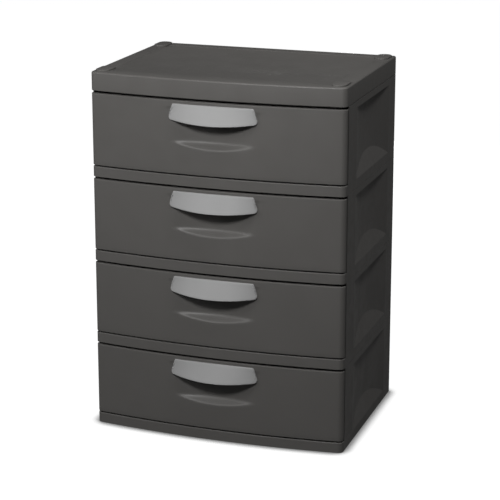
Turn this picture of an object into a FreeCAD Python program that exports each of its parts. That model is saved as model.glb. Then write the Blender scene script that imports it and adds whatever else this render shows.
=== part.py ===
# Four-drawer plastic tower: four stacked level frames with snap-in backs, a top cover,
# and four drawers, each a tub, a bowed front and a cup handle.
# X is the width, Y runs from the front (negative) to the rear, Z is up.
# The origin is the middle of the footprint on the floor, handles included.
import FreeCAD, Part

import math
import os
import re

import Sketcher

LEVELS = 4
BEADS = 6
NEAR = 0.01
EDGE_SAMPLES = 5

SIZES = {
    # Case: outer sizes and shell
    "width": 650.0,
    "case_depth": 480.0,
    "bow": 22.0,
    "level_height": 215.4,
    "wall": 2.4,
    "front_corner": 14.0,
    "rear_corner": 8.0,
    "overrun": 5.0,
    "seat_gap": 0.3,
    # Level frame: rail, floor and runners
    "rail_height": 26.0,
    "rail_round": 1.5,
    "foot_round": 1.0,
    "floor_height": 24.0,
    "floor_wall": 2.2,
    "runner_height": 4.2,
    "runner_width": 12.0,
    "runner_inset": 14.0,
    "stop_set": 4.0,
    "rib": 2.2,
    "rib_depth": 8.0,
    # Level frame: hollow in each side wall
    "post_width": 70.0,
    "recess_depth": 15.0,
    "recess_foot": 24.0,
    "recess_rise": 43.0,
    "recess_band": 16.1,
    # Level frame: tabs that locate the next level, drawer guides, rear channels
    "tab": 3.0,
    "tab_length": 40.0,
    "tab_inset": 14.0,
    "tab_root": 12.0,
    "tab_height": 8.0,
    "guide_set": 3.0,
    "guide_gap": 1.2,
    "rear_flange": 30.0,
    "channel": 10.0,
    # Back panel
    "panel": 2.0,
    "panel_lap": 6.0,
    "bead_width": 14.0,
    "bead_height": 2.0,
    "bead_margin": 26.0,
    "bead_corner": 6.0,
    "bead_round": 1.2,
    # Top cover
    "cover_height": 47.0,
    "cover_round": 4.0,
    "cover_chamfer": 1.6,
    "tray_inset": 37.0,
    "tray_sink": 1.0,
    "tray_corner": 16.0,
    "pad_width": 36.0,
    "pad_length": 64.0,
    "pad_corner": 17.0,
    "pad_rise": 4.0,
    "pad_side": 25.0,
    "pad_end": 39.0,
    # Drawer front
    "front_wall": 2.6,
    "front_reach": 15.0,
    "front_gap": 3.0,
    "gap_below": 3.0,
    "gap_above": 5.4,
    "front_round": 2.0,
    # Finger scoop in the drawer front
    "scoop_set": 12.0,
    "scoop_depth": 17.0,
    "scoop_tall": 85.0,
    "scoop_rise": 14.0,
    "scoop_cover": 9.0,
    # Joint between drawer front and tub
    "snap_width": 8.0,
    "snap_height": 16.0,
    "snap_reach": 1.5,
    # Tub
    "tub_wall": 2.0,
    "tub_set": 29.0,
    "tub_drop": 19.4,
    "tub_corner": 14.0,
    "tub_round": 5.0,
    "flange": 7.0,
    "flange_wall": 2.2,
    "tub_rear_gap": 4.5,
    "travel": 320.0,
    "ear": 5.0,
    "ear_length": 18.0,
    "ear_catch": 5.0,
    # Handle
    "handle_reach": 25.0,
    "handle_lip": 3.0,
    "handle_wall": 2.4,
    "handle_width": 230.0,
    "handle_set": 8.0,
    "handle_tall": 38.0,
    "handle_taper": 12.0,
    "handle_smile": 7.5,
    "handle_corner": 5.0,
    "handle_round": 1.4,
    "tongue_width": 16.0,
    "tongue_place": 60.0,
    "tongue_reach": 2.0,
    "end_tongue": 5.0,
    "end_tongue_set": 4.0,
    "end_tongue_tall": 12.0,
}

# Places that follow from the sizes
PLACES = {
    "half": "width / 2",
    "rear": "(case_depth + handle_reach) / 2",
    "bow_front": "rear - case_depth",
    "corner_line": "bow_front + bow",
    "bow_radius": "(half ^ 2 + bow ^ 2) / (2 * bow)",
    "bow_centre": "bow_front + bow_radius",
    "front_back": "corner_line + front_reach",
    "post_front": "front_back + front_gap",
    "inner_half": "half - wall",
    "inner_rear": "rear - wall",
    "floor_under": "floor_height - floor_wall",
    "runner_top": "floor_height + runner_height",
    "stop_rear": "post_front + stop_set + rib",
    "recess_front": "post_front + post_width",
    "recess_rear": "rear - post_width",
    "recess_mid": "(recess_front + recess_rear) / 2",
    "recess_half": "(recess_rear - recess_front) / 2",
    "recess_radius": "(recess_half ^ 2 + recess_depth ^ 2) / (2 * recess_depth)",
    "recess_slope": "recess_rise / recess_depth",
    "panel_rear": "inner_rear - seat_gap",
    "panel_front": "panel_rear - panel",
    "panel_half": "half - rear_corner - seat_gap",
    "channel_rear": "panel_front - seat_gap",
    "channel_front": "channel_rear - rib",
    "tub_bottom": "runner_top + seat_gap",
    "tub_half": "half - tub_set",
    "tub_rim": "level_height - tub_drop",
    "tub_rear": "channel_front - tub_rear_gap - flange",
    "flange_half": "tub_half + flange",
    "guide_half": "flange_half + guide_gap",
    "ear_front": "stop_rear + travel + seat_gap",
    "front_low": "rail_height + gap_below",
    "front_high": "level_height - gap_above",
    "handle_head": "front_high - handle_set",
    "handle_end": "handle_head - handle_tall",
    "handle_foot": "handle_end - handle_smile",
    "handle_low_half": "handle_width / 2",
    "handle_top_half": "handle_low_half - handle_taper",
    "scoop_half": "handle_low_half - scoop_set",
    "scoop_head": "handle_head - scoop_cover",
    "scoop_apex": "scoop_head - scoop_tall",
    "end_tongue_low": "handle_end + end_tongue_set",
    "scoop_lip": "bow_centre - sqrt(bow_radius ^ 2 - scoop_half ^ 2)",
    "scoop_sink": "bow_front + scoop_depth - scoop_lip",
    "scoop_radius": "(scoop_half ^ 2 + scoop_sink ^ 2) / (2 * scoop_sink)",
    "scoop_axis": "bow_front + scoop_depth - scoop_radius",
    "scoop_slope": "scoop_rise / scoop_depth",
    "handle_flare": "handle_taper / handle_tall",
    "handle_base": "handle_foot - overrun",
}

# Places of repeated ribs, runners, beads and snaps, as shares of the length they divide
RIB_SHARES = (-0.5, 0.0, 0.5)
RUNNER_SHARES = (-0.62, 0.62)
BEAD_SHARE = 0.75
BRACE_SHARES = (-0.83, -0.46, 0.46, 0.83)
SNAP_SHARES = (0.25, 0.75)


def formula(text):
    """Write an expression of plain size names as one that the document can read."""
    def swap(match):
        word = match.group(0)
        if word in PLACES:
            return "(" + formula(PLACES[word]) + ")"
        return "Sizes." + word if word in SIZES else word
    return re.sub(r"[a-z_]+", swap, text)


def number(doc, text):
    """Work out an expression of size names as a number."""
    return float(doc.getObject("Sizes").evalExpression(formula(text)))


def make_sheet(doc):
    """Write the sizes into a sheet under their own names."""
    sheet = doc.addObject("Spreadsheet::Sheet", "Sizes")
    for row, (name, value) in enumerate(SIZES.items(), start=1):
        sheet.set(f"A{row}", name)
        sheet.set(f"B{row}", str(value))
        sheet.setAlias(f"B{row}", name)
    doc.recompute()


def bind(item, **places):
    """Tie properties of an object to size expressions."""
    for name, text in places.items():
        item.setExpression(name.replace("__", "."), formula(text))


def start_body(doc, name):
    body = doc.addObject("PartDesign::Body", name)
    settle(*body.Origin.OriginFeatures, body.Origin)
    return body


def start_sketch(body, name, role="XY_Plane", lift="0"):
    """Start a sketch on an origin plane of the body, lifted along the plane's normal."""
    sketch = body.newObject("Sketcher::SketchObject", name)
    plane = next(item for item in body.Origin.OriginFeatures if item.Role == role)
    sketch.AttachmentSupport = [(plane, "")]
    sketch.MapMode = "FlatFace"
    sketch.setExpression(".AttachmentOffset.Base.z", formula(lift))
    return sketch


def arc_between(start, end, radius):
    """Counterclockwise arc of under a half circle from start to end."""
    chord = end - start
    rise = math.sqrt(max(radius ** 2 - (chord.Length / 2) ** 2, 0.0))
    side = FreeCAD.Vector(-chord.y, chord.x, 0).normalize()
    centre = (start + end) / 2 + side * rise
    first, last = (math.atan2(point.y - centre.y, point.x - centre.x) for point in (start, end))
    if last < first:
        last += 2 * math.pi
    return Part.ArcOfCircle(Part.Circle(centre, FreeCAD.Vector(0, 0, 1), radius), first, last)


def draw(sketch, outlines):
    """Draw closed counterclockwise outlines through corners (across, up), each reached by
    a line, or (across, up, radius), reached by an arc. Every corner is tied to the sizes."""
    geometry, rules, ties = [], [], []
    for corners in outlines:
        trace(sketch.Document, corners, geometry, rules, ties)
    sketch.addGeometry(geometry, False)
    sketch.addConstraint(rules)
    for place, text in ties:
        sketch.setExpression(f"Constraints[{place}]", formula(text))
    settle(sketch)


def trace(doc, corners, geometry, rules, ties):
    """Add the edges of one outline, the rules that join and place them, and their expressions."""
    points = [FreeCAD.Vector(number(doc, corner[0]), number(doc, corner[1]), 0) for corner in corners]
    first_edge = len(geometry)
    for index, corner in enumerate(corners):
        start, end = points[index - 1], points[index]
        edge = first_edge + index
        before = first_edge + (index - 1) % len(corners)
        if len(corner) == 2:
            geometry.append(Part.LineSegment(start, end))
        else:
            geometry.append(arc_between(start, end, number(doc, corner[2])))
        rules.append(Sketcher.Constraint("Coincident", before, 2, edge, 1))
        ties.append((len(rules), corner[0]))
        rules.append(Sketcher.Constraint("DistanceX", -1, 1, edge, 2, end.x))
        ties.append((len(rules), corner[1]))
        rules.append(Sketcher.Constraint("DistanceY", -1, 1, edge, 2, end.y))
        if len(corner) == 3:
            ties.append((len(rules), corner[2]))
            rules.append(Sketcher.Constraint("Radius", edge, number(doc, corner[2])))


def rectangle(left, right, low, high):
    """Plain rectangle, counterclockwise."""
    return [(left, low), (right, low), (right, high), (left, high)]


def rounded(left, right, low, high, radius):
    """Rectangle with rounded corners, counterclockwise."""
    return [
        (f"{right} - {radius}", low),
        (right, f"{low} + {radius}", radius),
        (right, f"{high} - {radius}"),
        (f"{right} - {radius}", high, radius),
        (f"{left} + {radius}", high),
        (left, f"{high} - {radius}", radius),
        (left, f"{low} + {radius}"),
        (f"{left} + {radius}", low, radius),
    ]


def bowed_front(inset):
    """Front of the bowed plan, left to right: corner arc, long arc, corner arc."""
    side = f"(half - {inset})"
    arc = f"(bow_radius - {inset})"
    turn = f"(front_corner - {inset})"
    turn_x = f"({side} - {turn})"
    turn_y = f"(bow_centre - sqrt(({arc} - {turn}) ^ 2 - {turn_x} ^ 2))"
    touch_x = f"({turn_x} * {arc} / ({arc} - {turn}))"
    touch_y = f"(bow_centre + ({turn_y} - bow_centre) * {arc} / ({arc} - {turn}))"
    return [
        (f"0 - {side}", turn_y),
        (f"0 - {touch_x}", touch_y, turn),
        (touch_x, touch_y, arc),
        (side, turn_y, turn),
    ]


def shell_plan(inset):
    """Plan of frame and cover: bowed front, straight sides, rounded rear corners."""
    side = f"(half - {inset})"
    turn = f"(rear_corner - {inset})"
    back = f"(rear - {inset})"
    return bowed_front(inset) + [
        (side, f"{back} - {turn}"),
        (f"{side} - {turn}", back, turn),
        (f"{turn} - {side}", back),
        (f"0 - {side}", f"{back} - {turn}", turn),
    ]


def front_plan(inset, back):
    """Plan of a drawer front: bowed front with a straight back."""
    side = f"(half - {inset})"
    return bowed_front(inset) + [(side, back), (f"0 - {side}", back)]


def settle(*items):
    """Recompute single objects, in order, and leave them as up to date."""
    for item in items:
        item.recompute()
        item.purgeTouched()


def changed(body, feature, more):
    """Recompute and make sure that the feature added or removed material."""
    before = feature.BaseFeature.Shape.Volume if feature.BaseFeature else 0.0
    settle(feature)
    change = feature.Shape.Volume - before
    if change * more <= 0:
        raise RuntimeError(f"{body.Name}: {feature.Name} left the volume as it was")
    return feature


def pad(body, name, outlines, low, tall, role="XY_Plane"):
    """Add a straight extrusion of one or more outlines."""
    sketch = start_sketch(body, name + "_sketch", role, low)
    draw(sketch, outlines)
    feature = body.newObject("PartDesign::Pad", name)
    feature.Profile = sketch
    bind(feature, Length=tall)
    return changed(body, feature, 1)


def pocket(body, name, outlines, low, tall, role="XY_Plane"):
    """Cut a straight extrusion of one or more outlines, upwards from low."""
    sketch = start_sketch(body, name + "_sketch", role, low)
    draw(sketch, outlines)
    feature = body.newObject("PartDesign::Pocket", name)
    feature.Profile = sketch
    feature.Reversed = True
    bind(feature, Length=tall)
    return changed(body, feature, -1)


def edges_where(shape, test):
    """Names of the edges whose every sampled point passes the test."""
    names = []
    for index, edge in enumerate(shape.Edges, start=1):
        if all(test(point) for point in edge.discretize(EDGE_SAMPLES)):
            names.append(f"Edge{index}")
    return names


def dress(body, kind, name, base, edges, size):
    """Add a Fillet or Chamfer on the named edges of a feature."""
    feature = body.newObject(f"PartDesign::{kind}", name)
    feature.Base = (base, edges)
    bind(feature, **{"Radius" if kind == "Fillet" else "Size": size})
    return changed(body, feature, -1)


def cylinder(doc, name, radius, across, along, low, tall):
    item = doc.addObject("Part::Cylinder", name)
    bind(item, Radius=radius, Height=tall)
    bind(item, Placement__Base__x=across, Placement__Base__y=along, Placement__Base__z=low)
    return item


def box(doc, name, left, right, front, back, low, high):
    item = doc.addObject("Part::Box", name)
    bind(item, Length=f"({right}) - ({left})", Width=f"({back}) - ({front})", Height=f"({high}) - ({low})")
    bind(item, Placement__Base__x=left, Placement__Base__y=front, Placement__Base__z=low)
    return item


def join(doc, name, items):
    item = doc.addObject("Part::MultiFuse", name)
    item.Shapes = items
    return item


def common(doc, name, base, tool):
    item = doc.addObject("Part::Common", name)
    item.Base, item.Tool = base, tool
    return item


def cut(doc, name, base, tool):
    item = doc.addObject("Part::Cut", name)
    item.Base, item.Tool = base, tool
    return item


def finish_piece(item, label, level):
    """Name a finished piece and lift it to its level; level 1 is the top drawer, 0 the cover."""
    item.Label = label
    item.setExpression(".Placement.Base.z", formula(f"level_height * {LEVELS - level}"))
    return item


def frame_shell(doc, level):
    """Level frame as moulded with straight walls: tray floor, front rail, sides and rear flanges."""
    body = start_body(doc, f"FrameShell{level}")
    block = pad(body, "Block", [shell_plan("0")], "0", "level_height")
    foot = edges_where(block.Shape, lambda point: abs(point.z) < NEAR)
    block = dress(body, "Fillet", "FootRound", block, foot, "foot_round")
    bay = rectangle("0 - half - overrun", "half + overrun", "bow_front - overrun", "post_front")
    block = pocket(body, "Bay", [bay], "rail_height", "level_height - rail_height + overrun")
    rail, post = number(doc, "rail_height"), number(doc, "post_front")
    brow = edges_where(block.Shape, lambda point: abs(point.z - rail) < NEAR and point.y < post + NEAR)
    brow = [name for name in brow if block.Shape.getElement(name).CenterOfMass.y < post - NEAR]
    dress(body, "Fillet", "RailRound", block, brow, "rail_round")
    room = rectangle("0 - inner_half", "inner_half", "post_front", "inner_rear")
    pocket(body, "Room", [room], "floor_height", "level_height")
    pocket(body, "Underside", [shell_plan("wall")], "0", "floor_under")
    window = rectangle("rear_flange - half", "half - rear_flange", "inner_rear - overrun", "rear + overrun")
    pocket(body, "Window", [window], "floor_height", "level_height")
    under_ribs(body, "floor_under")
    frame_fittings(body)
    return body


def under_ribs(body, ceiling):
    """Below a floor or cover whose underside is at ceiling: a grid of ribs, and the deep rib
    that stops the drawer below."""
    stop = rectangle("0 - inner_half", "inner_half", "stop_rear - rib", "stop_rear")
    pad(body, "StopRib", [stop], "0", ceiling)
    along = [rectangle(f"half * {share} - rib / 2", f"half * {share} + rib / 2", "stop_rear", "inner_rear")
             for share in RIB_SHARES]
    pad(body, "LongRibs", along, f"{ceiling} - rib_depth", "rib_depth")
    middle, reach = "(stop_rear + inner_rear) / 2", "(inner_rear - stop_rear) / 2"
    across = [rectangle("0 - inner_half", "inner_half",
                        f"{middle} + {reach} * {share} - rib / 2", f"{middle} + {reach} * {share} + rib / 2")
              for share in RIB_SHARES]
    pad(body, "CrossRibs", across, f"{ceiling} - rib_depth", "rib_depth")


def frame_fittings(body):
    """Runners, locating tabs on the posts, guide fins at the front and rear channels."""
    runners = [rectangle(f"half * {share} - runner_width / 2", f"half * {share} + runner_width / 2",
                         "post_front + runner_inset", "channel_front - runner_inset")
               for share in RUNNER_SHARES]
    pad(body, "Runners", runners, "floor_height", "runner_height")
    tab_out = "(inner_half - seat_gap)"
    tab_in = f"({tab_out} - tab)"
    ends = [("post_front + tab_inset", "post_front + tab_inset + tab_length"),
            ("channel_front - tab_inset - tab_length", "channel_front - tab_inset")]
    roots, uprights, fins, channels = [], [], [], []
    for sign in ("", "0 - "):
        for front, back in ends:
            roots.append(mirrored(sign, tab_in, "half - wall / 2", front, back))
            uprights.append(mirrored(sign, tab_in, tab_out, front, back))
        fins.append(mirrored(sign, "guide_half", "half - wall / 2",
                             "post_front + guide_set", "post_front + guide_set + rib"))
        channels.append(mirrored(sign, "inner_half - channel", "half - wall / 2",
                                 "channel_front", "channel_rear"))
    pad(body, "TabRoots", roots, "level_height - tab_root", "tab_root")
    pad(body, "Tabs", uprights, "level_height - tab_root", "tab_root + tab_height")
    pad(body, "GuideFins", fins, "floor_height", "level_height - floor_height - tab_root - overrun")
    pad(body, "Channels", channels, "floor_height", "level_height - floor_height")


def mirrored(sign, inner, outer, front, back):
    """Rectangle on the right side, or its mirror image on the left where sign negates."""
    if sign:
        return rectangle(f"{sign}({outer})", f"{sign}({inner})", front, back)
    return rectangle(inner, outer, front, back)


def recess(doc, name, side, offset, start):
    """Hollow of a side wall: a shallow upright cylinder above a ramp that rises inwards,
    grown by offset and begun at a depth of start. Side is 1 on the right, -1 on the left."""
    end = f"(recess_depth + {offset} + overrun)"
    drop = f"({offset} * sqrt(1 + recess_slope ^ 2))"
    ramp = doc.addObject("Part::Wedge", name + "Ramp")
    bind(ramp, Xmin="0 - recess_half - overrun", Xmax="recess_half + overrun")
    bind(ramp, X2min="0 - recess_half - overrun", X2max="recess_half + overrun")
    bind(ramp, Ymin="0", Ymax=f"{end} - ({start})")
    bind(ramp, Zmin=f"recess_foot + recess_slope * ({start}) - {drop}",
         Z2min=f"recess_foot + recess_slope * {end} - {drop}")
    bind(ramp, Zmax=f"level_height - recess_band + {offset}", Z2max=f"level_height - recess_band + {offset}")
    ramp.Placement.Rotation = FreeCAD.Rotation(FreeCAD.Vector(0, 0, 1), 90 * side)
    bind(ramp, Placement__Base__x=f"{side} * (half - ({start}))", Placement__Base__y="recess_mid")
    drum = cylinder(doc, name + "Drum", f"recess_radius + {offset}",
                    f"{side} * (half - recess_depth + recess_radius)", "recess_mid", "0", "level_height")
    return common(doc, name, drum, ramp)


def make_frame(doc, level):
    shell = frame_shell(doc, level)
    sides = (("Right", 1), ("Left", -1))
    skins = [recess(doc, f"{word}Skin{level}_", side, "wall", "wall / 2") for word, side in sides]
    hollows = [recess(doc, f"{word}Hollow{level}_", side, "0", "0 - overrun") for word, side in sides]
    solid = join(doc, f"FrameSkins{level}", [shell] + skins)
    frame = cut(doc, f"Frame{level}", solid, join(doc, f"FrameHollows{level}", hollows))
    return finish_piece(frame, f"frame_{level}", level)


def make_back_panel(doc, level):
    """Snap-in back: a thin panel with upright stiffening beads, held in the rear channels."""
    body = start_body(doc, f"BackPanel{level}")
    pad(body, "Sheet", [rectangle("0 - panel_half", "panel_half", "panel_front", "panel_rear")],
        "floor_height", "level_height - floor_height + panel_lap")
    span = f"((half - rear_flange) * {BEAD_SHARE})"
    first = rounded(f"0 - {span} - bead_width / 2", f"bead_width / 2 - {span}", "floor_height + bead_margin",
                    "level_height - bead_margin", "bead_corner")
    bead = pad(body, "Bead", [first], "0 - panel_rear - bead_height", "bead_height", "XZ_Plane")
    row = body.newObject("PartDesign::LinearPattern", "Beads")
    row.Originals = [bead]
    row.Direction = (next(item for item in body.Origin.OriginFeatures if item.Role == "X_Axis"), [""])
    row.Occurrences = BEADS
    bind(row, Length=f"2 * {span}")
    body.Tip = row
    changed(body, row, 1)
    crest = number(doc, "panel_rear + bead_height")
    rims = edges_where(row.Shape, lambda point: abs(point.y - crest) < NEAR)
    dress(body, "Fillet", "BeadRound", row, rims, "bead_round")
    return finish_piece(body, f"back_panel_{level}", level)


def make_top_cover(doc):
    """Top cover: a shallow bowed box, open below, with a sunk tray field and four raised pads."""
    body = start_body(doc, "TopCover")
    block = pad(body, "Block", [shell_plan("0")], "0", "cover_height")
    top = number(doc, "cover_height")
    rim = edges_where(block.Shape, lambda point: abs(point.z - top) < NEAR)
    block = dress(body, "Fillet", "TopRound", block, rim, "cover_round")
    foot = edges_where(block.Shape, lambda point: abs(point.z) < NEAR)
    dress(body, "Chamfer", "FootChamfer", block, foot, "cover_chamfer")
    pocket(body, "Underside", [shell_plan("wall")], "0", "cover_height - wall")
    tray = rounded("tray_inset - half", "half - tray_inset", "corner_line + tray_inset", "rear - tray_inset",
                   "tray_corner")
    pocket(body, "Tray", [tray], "cover_height - tray_sink", "tray_sink + overrun")
    pads = []
    for along in ("corner_line + pad_end", "rear - pad_end"):
        for across in ("half - pad_side", "pad_side - half"):
            pads.append(rounded(f"{across} - pad_width / 2", f"{across} + pad_width / 2",
                                f"{along} - pad_length / 2", f"{along} + pad_length / 2", "pad_corner"))
    pad(body, "Pads", pads, "cover_height - tray_sink", "tray_sink + pad_rise")
    under_ribs(body, "cover_height - wall")
    return finish_piece(body, "top_cover", 0)


def bow_at(across):
    """Distance of the bowed outer face along Y at a place across the width."""
    return f"(bow_centre - sqrt(bow_radius ^ 2 - ({across}) ^ 2))"


def front_shell(doc, level):
    """Drawer front as a bowed hollow box, open at the back, with braces that meet the tub."""
    body = start_body(doc, f"FrontShell{level}")
    low, high, back = (number(doc, text) for text in ("front_low", "front_high", "front_back"))
    block = pad(body, "Block", [front_plan("0", "front_back")], "front_low", "front_high - front_low")
    rims = edges_where(block.Shape, lambda point: min(abs(point.z - low), abs(point.z - high)) < NEAR)
    rims = [name for name in rims if block.Shape.getElement(name).CenterOfMass.y < back - NEAR]
    dress(body, "Fillet", "RimRound", block, rims, "front_round")
    room = front_plan("front_wall", "front_back + overrun")
    pocket(body, "Room", [room], "front_low + front_wall", "front_high - front_low - 2 * front_wall")
    braces, snaps = [], []
    for share in BRACE_SHARES:
        place = f"(tub_half * {share})"
        braces.append(rectangle(f"{place} - rib / 2", f"{place} + rib / 2",
                                f"{bow_at(place)} + front_wall / 2", "front_back"))
        for height in SNAP_SHARES:
            level_z = f"(tub_bottom + (tub_rim - tub_bottom) * {height})"
            snaps.append(rectangle(f"{place} - snap_width / 2", f"{place} + snap_width / 2",
                                   f"{level_z} - snap_height / 2", f"{level_z} + snap_height / 2"))
    pad(body, "Braces", braces, "front_low + front_wall / 2", "front_high - front_low - front_wall")
    pad(body, "Snaps", snaps, "0 - front_back - tub_wall - snap_reach", "tub_wall + snap_reach + rib",
        "XZ_Plane")
    return body


def scoop(doc, name, offset):
    """Finger scoop: an upright cylinder above a cone that falls towards the front, grown by offset."""
    rim = f"(scoop_radius + {offset})"
    neck = "(scoop_radius - scoop_depth - overrun)"
    drop = f"({offset} * sqrt(1 + scoop_slope ^ 2))"
    ledge = f"(scoop_apex + scoop_slope * {offset} - {drop})"
    fall = f"(scoop_slope * ({rim} - {neck}))"
    drum = cylinder(doc, name + "Drum", rim, "0", "scoop_axis", ledge, f"scoop_head + {offset} - {ledge}")
    ramp = doc.addObject("Part::Cone", name + "Ramp")
    bind(ramp, Radius1=neck, Radius2=rim, Height=fall)
    bind(ramp, Placement__Base__y="scoop_axis", Placement__Base__z=f"{ledge} - {fall}")
    return join(doc, name, [drum, ramp])


def tongue_boxes(doc, name, gap):
    """Two tongues at the head of a handle and one at each end, grown by gap for their slots."""
    boxes = []
    for word, sign in (("Right", "1"), ("Left", "-1")):
        reach = f"{bow_at('tongue_place')} + front_wall + tongue_reach"
        boxes.append(box(doc, f"{name}Head{word}",
                         f"{sign} * tongue_place - tongue_width / 2 - {gap}",
                         f"{sign} * tongue_place + tongue_width / 2 + {gap}",
                         f"{bow_at('tongue_place')} - handle_lip / 2", reach,
                         f"handle_head - handle_wall - {gap}", f"handle_head + {gap}"))
        middle = f"({sign} * (scoop_half + end_tongue / 2))"
        reach = f"{bow_at('scoop_half')} + front_wall + tongue_reach"
        boxes.append(box(doc, f"{name}End{word}",
                         f"{middle} - end_tongue / 2 - {gap}", f"{middle} + end_tongue / 2 + {gap}",
                         f"{bow_at('scoop_half')} - handle_lip / 2", reach,
                         f"end_tongue_low - {gap}", f"end_tongue_low + end_tongue_tall + {gap}"))
    return boxes


def make_drawer_front(doc, level):
    shell = front_shell(doc, level)
    core = cylinder(doc, f"FrontCore{level}", "bow_radius - front_wall / 2", "0", "bow_centre",
                    "0", "level_height")
    skin = common(doc, f"ScoopSkin{level}", scoop(doc, f"ScoopGrown{level}_", "front_wall"), core)
    solid = join(doc, f"FrontSkins{level}", [shell, skin])
    tools = [scoop(doc, f"Scoop{level}_", "0")] + tongue_boxes(doc, f"Slot{level}_", "seat_gap")
    front = cut(doc, f"Front{level}", solid, join(doc, f"FrontTools{level}", tools))
    return finish_piece(front, f"drawer_front_{level}", level)


def make_drawer_tub(doc, level):
    """Open tub with a rim flange on three sides, stop ears and slots for the front's snaps."""
    body = start_body(doc, f"Tub{level}")
    outer = rounded("0 - tub_half", "tub_half", "front_back", "tub_rear", "tub_corner")
    block = pad(body, "Block", [outer], "tub_bottom", "tub_rim - tub_bottom")
    low = number(doc, "tub_bottom")
    foot = edges_where(block.Shape, lambda point: abs(point.z - low) < NEAR)
    dress(body, "Fillet", "FootRound", block, foot, "tub_round")
    rim = rounded("0 - flange_half", "flange_half", "front_back", "tub_rear + flange", "tub_corner")
    pad(body, "Flange", [rim], "tub_rim - flange_wall", "flange_wall")
    inner = rounded("tub_wall - tub_half", "tub_half - tub_wall", "front_back + tub_wall",
                    "tub_rear - tub_wall", "(tub_corner - tub_wall)")
    room = pocket(body, "Room", [inner], "tub_bottom + tub_wall", "tub_rim")
    floor = number(doc, "tub_bottom + tub_wall")
    hollow = edges_where(room.Shape, lambda point: abs(point.z - floor) < NEAR)
    fillet = body.newObject("PartDesign::Fillet", "FloorRound")
    fillet.Base = (room, hollow)
    bind(fillet, Radius="tub_round - tub_wall")
    changed(body, fillet, 1)
    ears = [rectangle("flange_half - ear", "flange_half", "ear_front", "ear_front + ear_length"),
            rectangle("0 - flange_half", "ear - flange_half", "ear_front", "ear_front + ear_length")]
    pad(body, "Ears", ears, "tub_rim - flange_wall", "level_height + ear_catch - tub_rim + flange_wall")
    slots = []
    for share in BRACE_SHARES:
        place = f"(tub_half * {share})"
        for height in SNAP_SHARES:
            level_z = f"(tub_bottom + (tub_rim - tub_bottom) * {height})"
            slots.append(rectangle(f"{place} - snap_width / 2 - seat_gap", f"{place} + snap_width / 2 + seat_gap",
                                   f"{level_z} - snap_height / 2 - seat_gap",
                                   f"{level_z} + snap_height / 2 + seat_gap"))
    pocket(body, "SnapSlots", slots, "0 - front_back - tub_wall - overrun", "tub_wall + 2 * overrun",
           "XZ_Plane")
    return finish_piece(body, f"drawer_tub_{level}", level)


def handle_section(height, inset):
    """Plan of the handle hood at a height: nearly flush at the head, bulging at the foot."""
    half = f"(handle_top_half + (handle_head - {height}) * handle_flare - {inset})"
    share = f"((handle_head - {height}) / (handle_head - handle_foot))"
    crown = f"(bow_front - handle_lip - (handle_reach - handle_lip) * {share} + {inset})"
    end = f"(bow_centre - sqrt(bow_radius ^ 2 - {half} ^ 2) - handle_lip + {inset})"
    rise = f"({end} - {crown})"
    radius = f"(({half} ^ 2 + {rise} ^ 2) / (2 * {rise}))"
    back = "(bow_front + bow)"
    return [(f"0 - {half}", back), (f"0 - {half}", end), (half, end, radius), (half, back)]


def handle_hood(doc, name, head, inset):
    """Loft between the hood's plan below its foot and its plan at the head."""
    body = start_body(doc, name)
    low = start_sketch(body, "Low", "XY_Plane", "handle_base")
    draw(low, [handle_section("handle_base", inset)])
    high = start_sketch(body, "High", "XY_Plane", head)
    draw(high, [handle_section(f"({head})", inset)])
    loft = body.newObject("PartDesign::AdditiveLoft", "Hood")
    loft.Profile = low
    loft.Sections = [high]
    loft.Ruled = True
    settle(loft, body)
    return body


def handle_outline(doc, name):
    """Front view of the handle, as an upright prism: flared ends and a foot that smiles."""
    body = start_body(doc, name)
    smile = "((handle_low_half ^ 2 + handle_smile ^ 2) / (2 * handle_smile))"
    outline = [("0 - handle_top_half", "handle_head"), ("0 - handle_low_half", "handle_end"),
               ("handle_low_half", "handle_end", smile), ("handle_top_half", "handle_head")]
    prism = pad(body, "Prism", [outline], "0 - bow_front - bow", "handle_reach + bow + overrun", "XZ_Plane")
    corners = []
    for index, edge in enumerate(prism.Shape.Edges, start=1):
        first, last = (vertex.Point for vertex in edge.Vertexes)
        if abs(first.x - last.x) < NEAR and abs(first.z - last.z) < NEAR:
            corners.append(f"Edge{index}")
    dress(body, "Fillet", "Corners", prism, corners, "handle_corner")
    settle(body)
    return body


def make_drawer_handle(doc, level):
    """Cup handle: a hood open below and behind, rounded at its edges, with snap tongues."""
    outer = handle_hood(doc, f"HoodOuter{level}", "handle_head", "0")
    inner = handle_hood(doc, f"HoodInner{level}", "handle_head - handle_wall", "handle_wall")
    face = common(doc, f"HoodFace{level}", outer, handle_outline(doc, f"HoodOutline{level}"))
    settle(face)
    reach = number(doc, "bow_front - handle_lip / 2")
    rims = edges_where(face.Shape, lambda point: point.y < reach + number(doc, "handle_lip"))
    rounded_face = doc.addObject("Part::Fillet", f"HoodRound{level}")
    rounded_face.Base = face
    radius = number(doc, "handle_round")
    rounded_face.Edges = [(int(name[4:]), radius, radius) for name in rims]
    core = cylinder(doc, f"HandleSeat{level}", "bow_radius", "0", "bow_centre", "0", "level_height")
    cup = cut(doc, f"HandleCup{level}", rounded_face, join(doc, f"HandleVoid{level}", [inner, core]))
    handle = join(doc, f"Handle{level}", [cup] + tongue_boxes(doc, f"Tongue{level}_", "0"))
    return finish_piece(handle, f"drawer_handle_{level}", level)


def check(doc, pieces):
    """Stop if any object failed or any piece is not one valid solid."""
    doc.recompute()
    for item in doc.Objects:
        if "Invalid" in item.State or "Error" in item.State:
            raise RuntimeError(f"{item.Name} failed: {item.State}")
    for piece in pieces:
        shape = piece.Shape
        if shape.isNull() or not shape.isValid() or len(shape.Solids) != 1:
            raise RuntimeError(f"{piece.Label} is not one valid solid")


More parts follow.
